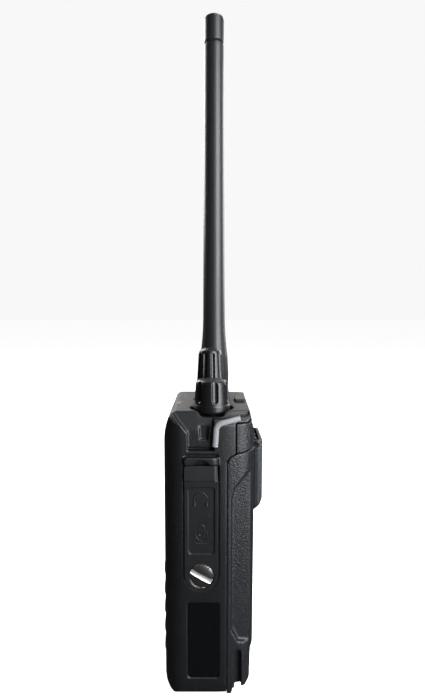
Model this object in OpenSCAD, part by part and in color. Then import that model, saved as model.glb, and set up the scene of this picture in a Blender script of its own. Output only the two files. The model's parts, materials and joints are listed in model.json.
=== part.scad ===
// Handheld two way radio with a whip antenna, a slide-on battery and a belt clip.
// +X is the accessory side, -X the push-to-talk side, -Y the front, +Z up.
// The origin is the middle of the base. All sizes are in millimetres.

/* [Body] */
// Width of the body, side to side
body_w = 61; // [60:0.5:63]
// Height of the body without its knobs
body_h = 127; // [126:0.5:129]
// Depth of the front housing, from its face to the battery seam
housing_d = 27.3; // [27:0.1:28]
// Depth of the battery pack
battery_d = 12.2; // [12:0.1:13]
// Wall of the front housing
wall = 2.2; // [2:0.1:2.4]
// Radius of the housing's upright front corners
front_corner_r = 8.5; // [7:0.5:9]

/* [Knobs and antenna] */
// Place of the volume knob across the body
volume_x = 17; // [16:0.5:17.5]
// Place of the channel knob across the body
channel_x = -2.5; // [-3:0.5:-2]
// Place of the antenna across the body
antenna_x = -20; // [-20.5:0.5:-19.5]
// Height of the antenna's tip above the base
antenna_top = 314; // [250:0.5:340]
// Number of grip flutes round the volume knob
volume_flutes = 6; // [5:1:8]
// Number of grip flutes round the channel knob
channel_flutes = 10; // [8:1:12]

/* [Accessory side] */
// Lowest edge of the jack cover
cover_bottom = 48.7; // [48:0.1:50]
// Highest edge of the jack cover
cover_top = 104.6; // [104:0.1:105]
// Width of the jack cover
cover_w = 14.7; // [14:0.1:15]
// Distance between the two accessory jacks
jack_pitch = 11; // [10:0.5:12]
// Diameter of the cover screw's head
screw_head_d = 10.4; // [9:0.1:10.6]

/* [Keypad] */
// Distance between key columns
key_pitch_x = 14.5; // [14:0.1:14.8]
// Distance between key rows
key_pitch_z = 9; // [8.6:0.1:9.2]
// Width of a key
key_w = 11.8; // [10:0.1:12]
// Height of a key
key_h = 6; // [5:0.1:6.4]
// Height of the lowest key row's middle
key_row_z = 16.5; // [16:0.5:17.5]

/* [Belt clip] */
// Width of the belt clip
clip_w = 24.4; // [22:0.2:26]
// Lowest point of the belt clip
clip_bottom = 77.2; // [60:0.2:80]

/* [Hidden] */
$fn = 48;
eps = 0.01;
seam = 0.3;

// Planes of the body, front to back
front_y = -(housing_d + seam + battery_d) / 2;
seam_y = front_y + housing_d;
batt_y = seam_y + seam;
back_y = batt_y + battery_d;
side_x = body_w / 2;
inner_y = front_y + wall;

// The rear cover sits above the battery, behind the housing's side seam
cap_y = seam_y + 4;
cap_top = body_h - 4.7;
batt_top = body_h - 18.6;
batt_top_back = body_h - 16.7;
batt_side_x = side_x - 0.5;
batt_foot = 2.5;

// Accessory side
cover_y = -3.35;
cover_r = cover_w / 2;
screw_z = cover_bottom + cover_r - 0.35;
hinge_z = screw_z + 6.5;
recess_x = side_x - 1.3;
flap_x = side_x + 0.7;
block_x = side_x + 1.3;
block_z = cover_top - 6.4;
jack_z = 87;
screw_slot_angle = 29;
funnel_x = side_x - 1.9;

// Top of the body
knob_y = 1.2;
channel_y = 0.4;
antenna_y = 2.2;
light_y = front_y + 3.7;
button_y = 12.2;
button_d = 4.4;
shaft_r = 3;
stud_r = 3.17;
sleeve_base = body_h + 0.4;
cap_joint = antenna_top - 12.8;

// Belt clip pivot
pin_y = back_y + 2;
pin_z = body_h - 19;
pin_r = 0.9;
clip_out = back_y + 4.8;
clip_wall = 1.5;
clip_screw_x = 6.7;
clip_screw_z = pin_z - 1.2;
bracket_x = clip_w / 2 - clip_wall - 0.3;
bracket_z = [pin_z - 3.4, batt_top_back - 0.1];

// Talk side
side_keys_z = [52, 103.5];

// Front face
window_z = [59.4, 87.6];
speaker_z = 104.5;
speaker_r = 14;
boss_x = 23.5;
boss_z = [9, 101];
rail_x = 16;
seal_y = seam_y - 1.9;

SHELL_BLACK = [0.09, 0.09, 0.10];
GLOSS_BLACK = [0.05, 0.05, 0.06];
RUBBER_BLACK = [0.12, 0.12, 0.13];

// ---- general shapes ----

// A rectangle with a radius of its own at each corner: bottom left, bottom right, top right, top left
module round_rect(low, high, r) {
    corners = [[low[0], low[1], 1, 1], [high[0], low[1], -1, 1], [high[0], high[1], -1, -1], [low[0], high[1], 1, -1]];
    difference() {
        translate(low) square(high - low);
        for (k = [0:3])
            if (r[k] > 0)
                corner_waste([corners[k][0], corners[k][1]], [corners[k][2], corners[k][3]], r[k]);
    }
}

module corner_waste(at, inward, r) {
    difference() {
        translate([at[0] + (inward[0] > 0 ? -1 : -r), at[1] + (inward[1] > 0 ? -1 : -r)]) square(r + 1);
        translate([at[0] + inward[0] * r, at[1] + inward[1] * r]) circle(r);
    }
}

// A block between two corners
module block(low, high) {
    translate(low) cube(high - low);
}

// A YZ outline made solid from x0 to x1
module along_x(x0, x1) {
    translate([x0, 0, 0]) rotate([90, 0, 90]) linear_extrude(x1 - x0) children();
}

// An XZ outline made solid from y0 to y1
module along_y(y0, y1) {
    translate([0, y1, 0]) rotate([90, 0, 0]) linear_extrude(y1 - y0) children();
}

// An XY outline made solid from z0 to z1
module along_z(z0, z1) {
    translate([0, 0, z0]) linear_extrude(z1 - z0) children();
}

// A round rod along X, Y or Z
module rod_x(x0, x1, y, z, r) {
    translate([x0, y, z]) rotate([0, 90, 0]) cylinder(r = r, h = x1 - x0);
}
module rod_y(x, y0, y1, z, r) {
    translate([x, y0, z]) rotate([-90, 0, 0]) cylinder(r = r, h = y1 - y0);
}
module rod_z(x, y, z0, z1, r) {
    translate([x, y, z0]) cylinder(r = r, h = z1 - z0);
}

// ---- the body's outer form ----

// Plan outline, inset by g
module plan_outline(g) {
    rear_r = 7;
    round_rect([-side_x + g, front_y + g], [side_x - g, back_y - g],
               [front_corner_r - g, front_corner_r - g, rear_r - g, rear_r - g]);
}

// Side outline in Y and Z, inset by g: the front face curves back over the top quarter
module side_outline(g) {
    curve_r = 36.5;
    curve_z = body_h - 15;
    base_r = 7;
    intersection() {
        round_rect([front_y + g, g], [back_y - g, body_h - g], [base_r - g, 2, 0, 0]);
        polygon([[front_y - 1, -1], [back_y + 1, -1], [back_y + 1, curve_z], [back_y - 2.1 - g, body_h + 0.2],
                 [front_y + 5.5, body_h + 0.1 - g], [front_y + 3.3, body_h - 0.8 - g],
                 [front_y + 2, body_h - 2.4 - g], [front_y - 1, body_h - 5 - g]]);
        union() {
            translate([front_y + g, -1]) square([60, curve_z + 1]);
            translate([front_y + curve_r, curve_z]) circle(curve_r - g, $fn = 96);
            translate([0, curve_z - 1]) square([60, 20]);
        }
    }
}

// Front outline in X and Z, inset by g, with its sloping shoulders
module front_outline(g) {
    intersection() {
        round_rect([-side_x + g, g], [side_x - g, body_h - g], [3, 3, 0, 0]);
        polygon([[-side_x, -1], [side_x, -1], [side_x, body_h - 5.2], [side_x - 1.9, body_h - 2.4],
                 [side_x - 6, body_h - g * 0.6], [side_x - 6, body_h + 1], [-side_x + 6, body_h + 1],
                 [-side_x + 6, body_h - g * 0.6], [-side_x + 1.9, body_h - 2.4], [-side_x, body_h - 5.2]]);
    }
}

module outer_form(g) {
    intersection() {
        along_z(0, body_h) plan_outline(g);
        along_x(-side_x - 1, side_x + 1) side_outline(g);
        along_y(front_y - 1, back_y + 1) front_outline(g);
    }
}

// The part of the body that the front housing takes
module housing_zone() {
    along_x(-side_x - 2, side_x + 2) polygon([
        [front_y - 2, -2], [seam_y, -2], [seam_y, batt_top - 3.5], [batt_y + 0.1, batt_top - 2],
        [batt_y + 1.4, batt_top - 0.4], [cap_y, batt_top + 0.9], [cap_y, cap_top + seam], [back_y + 3, cap_top + seam], [back_y + 3, body_h + 2], [front_y - 2, body_h + 2]]);
}

// ---- openings in the front housing ----

// Round wells that the knobs turn in
module knob_wells() {
    rod_z(volume_x, knob_y, body_h - 2.6, body_h + 2, 9.6);
    rod_z(channel_x, channel_y, body_h - 1.8, body_h + 2, 7.9);
    rod_z(volume_x, knob_y, body_h - 8, body_h, 3.9);
    rod_z(channel_x, channel_y, body_h - 8, body_h, 3.9);
    rod_z(antenna_x, antenna_y, body_h - 8, body_h + 2, 3.4);
}

// The hollow below the volume knob that narrows down the accessory side
module funnel_outline() {
    corner_r = 4.5;
    difference() {
        polygon([[cover_y - 5.9, 110.8], [cover_y - 5.9, 118.5], [cover_y - 13.6, body_h + 1], [18.5, body_h + 1],
                 [17, body_h - 1.9], [6.4, body_h - 2.9], [2, body_h - 2.9], [2, 110.8]]);
        difference() {
            translate([2 - eps, body_h - 2.9 - corner_r]) square([corner_r, corner_r]);
            translate([2 + corner_r, body_h - 2.9 - corner_r]) circle(corner_r);
        }
    }
}

module funnel() {
    intersection() {
        along_x(side_x - 12, side_x + 2) funnel_outline();
        along_y(front_y, back_y) polygon([[funnel_x, 100], [funnel_x, 119.5], [side_x - 6.2, body_h + eps],
                                          [side_x - 6.2, body_h + 3], [side_x + 4, body_h + 3], [side_x + 4, 100]]);
    }
    // The narrow pocket at its middle
    along_x(funnel_x - 1.2, side_x + 1)
        polygon([[-4.4, 122], [-0.1, 122], [-0.6, 115.2], [-4, 115.2]]);
    along_x(funnel_x - 1, side_x + 1)
        polygon([[cover_y - 5.9, 110.9], [2, 110.9], [2, 111.7], [cover_y - 5.9, 111.7]]);
}

// Outline of the jack cover, shrunk by g
module cover_outline(g) {
    low = cover_bottom + g;
    translate([cover_y, low + cover_r - g]) circle(cover_r - g);
    round_rect([cover_y - cover_r + g, low + cover_r - g], [cover_y + cover_r - g, cover_top - g], [0, 0, 1, 1]);
}

module accessory_side_openings() {
    along_x(recess_x, side_x + 3) cover_outline(-0.2);
    block([side_x - 3, cover_y - 4.9, jack_z - jack_pitch - 4.6], [side_x, cover_y + 4.9, jack_z + 4.6]);
    along_x(side_x - 0.6, side_x + 1)
        round_rect([-9.7, 8], [4.5, 43.2], [1.5, 1.5, 1.5, 1.5]);
    along_x(side_x - 1, side_x + 3) polygon([[-10.7, 108.2], [4, 108.2], [4, 109.2], [-10.7, 109.2]]);
    rod_x(side_x - 9, side_x, cover_y, screw_z, 2.05);
}

module talk_side_openings() {
    along_x(-side_x - 1, -side_x + 4) round_rect([-9.3, 63.7], [4.3, 100.3], [2.3, 2.3, 2.3, 2.3]);
    for (z = side_keys_z)
        along_x(-side_x - 1, -side_x + 4) round_rect([-6.3, z - 0.3], [1.3, z + 8.3], [2, 2, 2, 2]);
}

module front_openings() {
    along_y(front_y - 1, front_y + 1.4)
        round_rect([-21.8, window_z[0] - 0.2], [21.8, window_z[1] + 0.2], [3, 3, 3, 3]);
    along_y(front_y - 1, inner_y + 1) round_rect([-19, 62.5], [19, 84.5], [1, 1, 1, 1]);
    for (k = [0:5])
        let (half = 20 - 0.9 * pow(abs(k - 2.5), 1.6))
            along_y(front_y - 1, inner_y + 1)
                round_rect([-half, speaker_z - 9.9 + 3.6 * k], [half, speaker_z - 8.1 + 3.6 * k], [0.8, 0.8, 0.8, 0.8]);
    for (k = [0:14])
        along_y(front_y - 1, inner_y + 1) key_outline(k, 0.25);
    rod_y(10, front_y - 1, inner_y + 1, 7.6, 0.7);
}

// Screw bosses that stand behind the front face
module housing_bosses() {
    for (x = [-boss_x, boss_x])
        for (z = boss_z)
            rod_y(x, inner_y - 0.4, seam_y - 2.3, z, 2.4);
}

module front_housing() {
    color(SHELL_BLACK) difference() {
        union() {
            difference() {
                union() {
                    intersection() {
                        outer_form(0);
                        housing_zone();
                    }
                    // Round pad under the antenna
                    rod_z(antenna_x, antenna_y, body_h - 5.2, body_h, 8.3);
                    // Bar above the jack cover
                    along_x(side_x - 1, block_x)
                        round_rect([cover_y - cover_r, cover_top + 0.3], [cover_y + cover_r, 108.2], [0.4, 0.4, 1, 1]);
                }
                outer_form(wall);
                accessory_side_openings();
            }
            housing_bosses();
            // Boss for the cover screw, and a wall behind the funnel
            difference() {
                rod_x(side_x - 9, side_x - wall + 0.5, cover_y, screw_z, 4.2);
                rod_x(side_x - 9.5, side_x, cover_y, screw_z, 2.05);
            }
            intersection() {
                outer_form(wall - 0.3);
                housing_zone();
                block([side_x - 9, -17, 109], [side_x - wall + 0.3, 15, body_h - 1]);
                along_y(-17, 15) polygon([[funnel_x - 2.2, 109], [funnel_x - 2.2, 117], [side_x - 9, body_h - 2.5],
                                          [side_x - 9, body_h], [side_x, body_h], [side_x, 109]]);
            }
            // Floor under the wells
            block([-12.2, -9, body_h - 4.2], [side_x - 6.5, 12, body_h - wall + 0.2]);
        }
        knob_wells();
        funnel();
        talk_side_openings();
        front_openings();
        rod_x(side_x - 0.6, side_x + 3, cover_y, cover_top - 1.94, 4.24);
        for (x = [-boss_x, boss_x])
            for (z = boss_z)
                rod_y(x, inner_y + 1, seam_y, z, 1.05);
        // Top button and light pipe
        block([-5.2, button_y - 0.2, body_h - 6], [5.2, button_y + button_d + 0.2, body_h + 1]);
        block([2.6, light_y - 0.1, body_h - 6], [10, light_y + 3.3, body_h + 1]);
    }
}

// ---- chassis and rear cover ----

module chassis_rim(low_y, high_y, inset, thick) {
    intersection() {
        difference() {
            outer_form(inset);
            outer_form(inset + thick);
        }
        block([-side_x, low_y, 0], [side_x, high_y, body_h - 5.5]);
    }
}

// A T-shaped rail that the battery slides on
module battery_rail(x) {
    block([x - 1.1, seam_y - 0.5, 14], [x + 1.1, batt_y + 1, 98]);
    block([x - 2.1, batt_y + 0.8, 14], [x + 2.1, batt_y + 1.7, 98]);
}

module chassis_frame() {
    color("dimgray") difference() {
        union() {
            chassis_rim(-11, seam_y - 1, wall + 0.2, 1.8);
            intersection() {
                outer_form(wall + 0.2);
                block([-side_x, seam_y - 2.2, 0], [side_x, seam_y, body_h - 5.5]);
            }
            for (x = [-rail_x, rail_x])
                battery_rail(x);
            // Shelf over the battery, and the block that the rear cover snaps over
            intersection() {
                outer_form(wall + 0.2);
                along_x(-side_x, side_x) polygon([
                    [seam_y - 1, batt_top + 0.7], [cap_y, batt_top + 1.9], [back_y, batt_top_back + 0.9],
                    [back_y, batt_top_back + 2], [cap_y, batt_top + 3], [seam_y - 1, batt_top + 1.8]]);
            }
            block([-13, seam_y - 1, batt_top_back + 0.2], [13, back_y - 2.4, body_h - 6.4]);
        }
        block([side_x - 8, cover_y - 5.4, jack_z - jack_pitch - 5.4], [side_x, cover_y + 5.4, jack_z + 5.4]);
        block([side_x - 9.5, cover_y - 5, screw_z - 5], [side_x, cover_y + 5, screw_z + 5]);
        funnel_corner();
        chassis_rim(seal_y - 0.1, seal_y + 1.3, wall - 0.1, 1.2);
        block([-side_x, -10.1, 50.5], [-side_x + 6, 5.1, 113.5]);
        for (x = [-boss_x, boss_x])
            for (z = boss_z) {
                rod_y(x, seam_y - 4, seam_y + 1, z, 1.5);
                rod_y(x, seam_y - 1.3, seam_y + 1, z, 2.6);
            }
        // Room for the controls and the antenna socket
        rod_z(volume_x, knob_y, body_h - 20, body_h, 6.4);
        rod_z(channel_x, channel_y, body_h - 20, body_h, 6.4);
        rod_z(antenna_x, antenna_y, body_h - 9, body_h, 5.4);
        // Battery contacts, and the pocket that the battery latch hooks into
        block([-8.5, seam_y - 3, 22.5], [8.5, seam_y + 1, 29.5]);
        block([-8, seam_y - 1.4, 6], [8, seam_y + 1, 13]);
    }
}

module rear_top_cover() {
    color(SHELL_BLACK) difference() {
        intersection() {
            outer_form(0);
            along_x(-side_x - 1, side_x + 1) polygon([
                [cap_y + seam, batt_top + 0.95], [back_y + 1, batt_top_back + 0.5],
                [back_y + 1, cap_top], [cap_y + seam, cap_top]]);
        }
        intersection() {
            outer_form(2);
            block([-side_x, cap_y - 1, 100], [side_x, back_y, cap_top - 1.6]);
        }
        block([-13.2, cap_y - 1, 100], [13.2, back_y - 2.3, body_h]);
    }
}

// Corner of the inside that the funnel's wall takes up
module funnel_corner() {
    block([side_x - 9.2, -17, 107], [side_x, cap_y + 1, body_h]);
}

module main_seal() {
    color("black") difference() {
        chassis_rim(seal_y, seal_y + 1.2, wall + 0.02, 1);
        funnel_corner();
    }
}

module chassis_screws() {
    color("silver") for (x = [-boss_x, boss_x])
        for (z = boss_z) {
            rod_y(x, seam_y - 9, seam_y - 1.25, z, 1.0);
            difference() {
                rod_y(x, seam_y - 1.25, seam_y - 0.1, z, 2.4);
                block([x - 1.4, seam_y - 0.7, z - 0.3], [x + 1.4, seam_y, z + 0.3]);
                block([x - 0.3, seam_y - 0.7, z - 1.4], [x + 0.3, seam_y, z + 1.4]);
            }
        }
}

module side_label_plate() {
    color(GLOSS_BLACK) along_x(side_x - 0.6, side_x - 0.3)
        round_rect([-9.6, 8.1], [4.4, 43.1], [1.4, 1.4, 1.4, 1.4]);
}

// ---- front face and what is behind it ----

module display_window() {
    color([0.05, 0.06, 0.07]) along_y(front_y + 0.3, front_y + 1.4)
        round_rect([-21.6, window_z[0]], [21.6, window_z[1]], [2.8, 2.8, 2.8, 2.8]);
}

module display_module() {
    color([0.35, 0.42, 0.38]) block([-19.5, inner_y + 0.2, 60], [19.5, inner_y + 2.2, 86.6]);
}

module speaker_driver() {
    color("gray") {
        difference() {
            rod_y(0, inner_y + 1, inner_y + 5.2, speaker_z, speaker_r);
            translate([0, inner_y + 0.7, speaker_z]) rotate([-90, 0, 0])
                cylinder(r1 = speaker_r - 1, r2 = speaker_r / 2, h = 3);
        }
        rod_y(0, inner_y + 5.2, inner_y + 7.4, speaker_z, speaker_r / 2);
    }
}

module speaker_mesh() {
    color("dimgray") along_y(inner_y + 0.15, inner_y + 0.45)
        round_rect([-20.5, speaker_z - 10.5], [20.5, speaker_z + 10.4], [3, 3, 3, 3]);
}

// Middle of key k: twelve number keys from the top row down, then the three menu keys
function key_x(k) = (k % 3 - 1) * key_pitch_x;
function key_z(k) = k < 12 ? key_row_z + (3 - floor(k / 3)) * key_pitch_z : key_row_z + 4 * key_pitch_z + 0.5;

module key_outline(k, grow) {
    w = key_w / 2 + grow;
    h = (k == 13 ? key_h + 1 : key_h) / 2 + grow;
    r = (k < 12 ? 2 : 2.8) + grow;
    translate([key_x(k), key_z(k)]) round_rect([-w, -h], [w, h], [r, r, r, r]);
}

// A key stands proud of the face and keeps a flange behind it
module key(k) {
    color(RUBBER_BLACK) {
        along_y(front_y - 0.7, inner_y + 0.6) key_outline(k, 0);
        along_y(inner_y + 0.25, inner_y + 0.6) key_outline(k, 0.7);
    }
}

module keypad_membrane() {
    color(RUBBER_BLACK) {
        along_y(inner_y + 1.4, inner_y + 2.0) round_rect([-20.6, 11.5], [20.6, 58], [2, 2, 2, 2]);
        for (k = [0:14])
            rod_y(key_x(k), inner_y + 1.2, inner_y + 1.5, key_z(k), 2.2);
    }
}

module main_board() {
    color("darkgreen") block([-20.5, inner_y + 2.25, 5.6], [20.5, inner_y + 3.85, 87.4]);
}

module shield_cans() {
    color("silver") for (span = [[8, 30], [34, 58], [62, 84]])
        block([-18, inner_y + 3.85, span[0]], [10, inner_y + 6.4, span[1]]);
}

module microphone() {
    color("silver") rod_y(10, inner_y + 0.3, inner_y + 2.2, 7.6, 2);
}

// ---- controls on the top ----

module volume_control() {
    color("silver") difference() {
        union() {
            rod_z(volume_x, knob_y, body_h - 16, body_h - 8.6, 6);
            rod_z(volume_x, knob_y, body_h - 8.6, body_h - 2.8, 3.7);
        }
        rod_z(volume_x, knob_y, body_h - 13, body_h, shaft_r + 0.06);
    }
}

module channel_encoder() {
    color("silver") difference() {
        union() {
            rod_z(channel_x, channel_y, body_h - 16, body_h - 8.6, 6);
            rod_z(channel_x, channel_y, body_h - 8.6, body_h - 2, 3.7);
        }
        rod_z(channel_x, channel_y, body_h - 13, body_h, shaft_r + 0.06);
    }
}

module control_shaft(x, y, top) {
    difference() {
        rod_z(x, y, body_h - 12.8, top, shaft_r);
        block([x - 4, y + 1.6, body_h + 1], [x + 4, y + 4, top + 1]);
    }
}

module volume_shaft() {
    color("silver") control_shaft(volume_x, knob_y, body_h + 9);
}

module channel_shaft() {
    color("silver") control_shaft(channel_x, channel_y, body_h + 11);
}

// A bore with a flat, that a control shaft is pressed into
module shaft_bore(x, y, top) {
    difference() {
        rod_z(x, y, body_h - 4, top + 0.1, shaft_r + 0.01);
        block([x - 4, y + 1.6, body_h + 1], [x + 4, y + 4, top + 1]);
    }
}

// Upright grip flutes with round ends, cut round a knob
module flutes(x, y, count, first, ring_r, r, z0, z1, lean) {
    for (k = [0:count - 1])
        translate([x, y, 0]) rotate([0, 0, first + k * 360 / count]) translate([ring_r, 0, z0])
            rotate([0, -lean, 0]) {
                cylinder(r = r, h = z1 - z0);
                sphere(r = r);
            }
}

module volume_knob() {
    color(GLOSS_BLACK) difference() {
        translate([volume_x, knob_y, body_h]) rotate_extrude()
            polygon([[0, -1.9], [7.5, -1.9], [8.1, -0.9], [8.1, 1.6], [7.8, 1.9], [7.85, 2.3], [7.3, 10.8],
                     [6.8, 12], [5.9, 12.6], [0, 12.6]]);
        shaft_bore(volume_x, knob_y, body_h + 9);
        flutes(volume_x, knob_y, volume_flutes, 11, 8.65, 1.8, body_h + 4.4, body_h + 14, 4);
    }
}

module channel_knob() {
    color(GLOSS_BLACK) difference() {
        translate([channel_x, channel_y, body_h]) rotate_extrude()
            polygon([[0, -1.5], [6.9, -1.5], [7.3, -0.8], [7.3, 1], [7, 1.3], [5.7, 22.2], [5, 24], [3.2, 24.9], [0, 25.2]]);
        shaft_bore(channel_x, channel_y, body_h + 11);
        flutes(channel_x, channel_y, channel_flutes, 12, 7.5, 1.2, body_h + 4.5, body_h + 23, 4);
    }
}

module top_button() {
    color(RUBBER_BLACK) {
        block([-5, button_y, body_h - 4.5], [5, button_y + button_d, body_h + 1.4]);
        block([-6, button_y - 0.6, body_h - 5.2], [6, button_y + button_d + 0.5, body_h - 4.4]);
    }
}

module status_light_pipe() {
    color([0.75, 0.78, 0.76]) along_x(2.7, 9.9) polygon([
        [light_y, body_h - 4.6], [light_y + 3.2, body_h - 4.6], [light_y + 3.2, body_h + 0.1],
        [light_y + 1.8, body_h + 0.1], [light_y, body_h - 0.5]]);
}

// ---- antenna ----

module antenna_socket() {
    color("gold") difference() {
        union() {
            rod_z(antenna_x, antenna_y, body_h - 8, body_h - 5.5, 5);
            rod_z(antenna_x, antenna_y, body_h - 6, body_h + 7, stud_r);
        }
        rod_z(antenna_x, antenna_y, body_h, body_h + 8, 0.9);
    }
}

module antenna_plug() {
    color("gold") {
        difference() {
            rod_z(antenna_x, antenna_y, body_h + 0.6, body_h + 10.4, 5);
            rod_z(antenna_x, antenna_y, body_h, body_h + 8, stud_r + 0.08);
        }
        rod_z(antenna_x, antenna_y, body_h + 1, body_h + 8.2, 0.6);
    }
}

// Rubber sleeve: a grip that flares at the foot, then a slender taper
module antenna_sleeve() {
    color(RUBBER_BLACK) translate([antenna_x, antenna_y, 0]) difference() {
        rotate_extrude() polygon([
            [0, sleeve_base], [7.2, sleeve_base], [7.6, sleeve_base + 0.6], [7.55, 138], [7.1, 146], [6.5, 151],
            [6.05, 156], [5.75, 161], [5.6, 166], [4.87, cap_joint - 1.4], [4.4, cap_joint - 0.6],
            [4.4, cap_joint], [0, cap_joint]]);
        translate([0, 0, sleeve_base - 1]) cylinder(r = 5, h = body_h + 10.4 - sleeve_base + 1);
        translate([0, 0, body_h + 10]) cylinder(r = 2.6, h = cap_joint - body_h - 16);
    }
}

module antenna_radiator() {
    color("peru") translate([antenna_x, antenna_y, 0]) {
        translate([0, 0, body_h + 10.4]) cylinder(r = 1, h = cap_joint - body_h - 18);
        for (z = [145:4:body_h + 100])
            translate([0, 0, z]) cylinder(r = 2.4, h = 2);
    }
}

module antenna_cap() {
    color(RUBBER_BLACK) translate([antenna_x, antenna_y, 0]) rotate_extrude()
        polygon([[0, cap_joint], [4.4, cap_joint], [4.87, cap_joint + 0.5], [4.87, antenna_top - 2.2],
                 [4.4, antenna_top - 0.9], [3.4, antenna_top - 0.25], [2, antenna_top], [0, antenna_top]]);
}

// ---- talk side ----

module ptt_button() {
    color(RUBBER_BLACK) {
        along_x(-side_x - 1.6, -side_x + 3) round_rect([-9, 64], [4, 100], [2, 2, 2, 2]);
        along_x(-side_x + 2.4, -side_x + 3.2) round_rect([-9.8, 63], [4.8, 101], [2, 2, 2, 2]);
    }
}

module side_key(z) {
    color(RUBBER_BLACK) {
        along_x(-side_x - 0.8, -side_x + 3) round_rect([-6, z], [1, z + 8], [1.7, 1.7, 1.7, 1.7]);
        along_x(-side_x + 2.4, -side_x + 3.2) round_rect([-6.7, z - 0.7], [1.7, z + 8.7], [1.7, 1.7, 1.7, 1.7]);
    }
}

// ---- accessory side ----

module accessory_jacks() {
    color("black") difference() {
        block([side_x - 16, cover_y - 4.7, jack_z - jack_pitch - 4.4], [recess_x, cover_y + 4.7, jack_z + 4.4]);
        rod_x(recess_x - 13, recess_x + 1, cover_y, jack_z, 1.8);
        rod_x(recess_x - 13, recess_x + 1, cover_y, jack_z - jack_pitch, 1.3);
    }
}

// The free end of the jack cover: a thick top block, then a thin flap with a sunk panel
module jack_cover_flap() {
    color(RUBBER_BLACK) difference() {
        union() {
            along_x(recess_x + 0.1, flap_x) intersection() {
                cover_outline(0);
                translate([-20, hinge_z]) square([40, 60]);
            }
            along_x(recess_x + 0.5, block_x) intersection() {
                cover_outline(0);
                translate([-20, block_z]) square([40, 20]);
            }
        }
        along_x(flap_x - 0.5, flap_x + 1)
            round_rect([cover_y - 5.7, hinge_z + 3.4], [cover_y + 5.7, block_z - 3], [1.6, 1.6, 1.6, 1.6]);
    }
}

// The fixed end, under the screw
module jack_cover_tab() {
    color(RUBBER_BLACK) difference() {
        along_x(recess_x + 0.05, flap_x) intersection() {
            cover_outline(0);
            translate([-20, 40]) square([40, hinge_z - 0.1 - 40]);
        }
        rod_x(recess_x - 1, flap_x + 1, cover_y, screw_z, 2.3);
        rod_x(flap_x - 0.8, flap_x + 1, cover_y, screw_z, screw_head_d / 2 + 0.35);
    }
}

module cover_screw() {
    head_out = flap_x + 0.6;
    slot = 2;
    color("silver") difference() {
        union() {
            rod_x(side_x - 8, flap_x - 0.7, cover_y, screw_z, 1.97);
            rod_x(flap_x - 0.75, head_out, cover_y, screw_z, screw_head_d / 2);
        }
        translate([head_out - 0.8, cover_y, screw_z]) rotate([-screw_slot_angle, 0, 0])
            translate([0, -10, -slot / 2]) cube([3, 20, slot]);
    }
}

// ---- belt clip ----

// A plate let into the battery's back, with two ears that hold the pin
module clip_bracket() {
    ear = 1.8;
    ear_r = 1.35;
    color(SHELL_BLACK) difference() {
        union() {
            block([-bracket_x, back_y - 0.95, bracket_z[0]], [bracket_x, back_y + 0.05, bracket_z[1]]);
            for (x = [-bracket_x, bracket_x - ear])
                along_x(x, x + ear) {
                    translate([pin_y, pin_z]) circle(ear_r);
                    polygon([[back_y - 0.5, pin_z + 1.8], [back_y + 0.6, pin_z + 1.8], [pin_y, pin_z + ear_r],
                             [pin_y, pin_z - ear_r], [back_y + 0.4, bracket_z[0]], [back_y - 0.5, bracket_z[0]]]);
                }
        }
        rod_x(-20, 20, pin_y, pin_z, pin_r);
        for (x = [-clip_screw_x, clip_screw_x]) {
            rod_y(x, back_y - 2, back_y + 1, clip_screw_z, 1.3);
            rod_y(x, back_y - 0.5, back_y + 1, clip_screw_z, 1.7);
        }
    }
}

module clip_pin() {
    color("silver") rod_x(-clip_w / 2, clip_w / 2, pin_y, pin_z, pin_r);
}

// Two coils of close turns round the pin
module clip_spring() {
    wire_r = 0.28;
    color("silver") for (side = [-1, 1])
        for (k = [0:4])
            translate([side * (2.4 + 0.6 * k), pin_y, pin_z]) rotate([0, 90, 0]) rotate_extrude()
                translate([pin_r + 0.05 + wire_r, 0]) circle(wire_r, $fn = 16);
}

// The screws lie flush in the bracket, clear of the spring
module clip_screws() {
    color("silver") for (x = [-clip_screw_x, clip_screw_x]) {
        rod_y(x, back_y - 7.5, back_y - 0.3, clip_screw_z, 1.2);
        difference() {
            rod_y(x, back_y - 0.5, back_y, clip_screw_z, 1.65);
            block([x - 1, back_y - 0.3, clip_screw_z - 0.2], [x + 1, back_y + 1, clip_screw_z + 0.2]);
            block([x - 0.2, back_y - 0.3, clip_screw_z - 1], [x + 0.2, back_y + 1, clip_screw_z + 1]);
        }
    }
}

module belt_clip() {
    half = clip_w / 2;
    plate = 1.6;
    clip_top = pin_z + 2.5;
    inner = back_y + 0.7;
    foot_z = clip_bottom + 5.4;
    color(SHELL_BLACK) {
        difference() {
            union() {
                // Outer plate, turned in at its foot
                along_x(-half, half) polygon([
                    [clip_out - plate, clip_top], [clip_out, clip_top], [clip_out, foot_z],
                    [clip_out - 1.2, foot_z - 3], [inner, clip_bottom], [inner, clip_bottom + 1.5],
                    [clip_out - 1.9, foot_z - 1.5], [clip_out - plate, foot_z]]);
                // Side walls, which turn on the pin
                for (x = [-half, half - clip_wall])
                    along_x(x, x + clip_wall) polygon([
                        [inner, clip_top - 2.2], [inner + 1, clip_top], [clip_out, clip_top], [clip_out, foot_z],
                        [clip_out - 1.2, foot_z - 3], [inner, clip_bottom]]);
            }
            rod_x(-20, 20, pin_y, pin_z, pin_r + 0.05);
            rod_x(clip_wall - half, half - clip_wall, pin_y, pin_z, pin_r + 0.95);
        }
        // Grip ribs
        for (z = [pin_z - 0.6, pin_z + 1])
            block([-8, clip_out - 0.5, z], [8, clip_out + 0.3, z + 0.7]);
    }
}

// ---- battery ----

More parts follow.
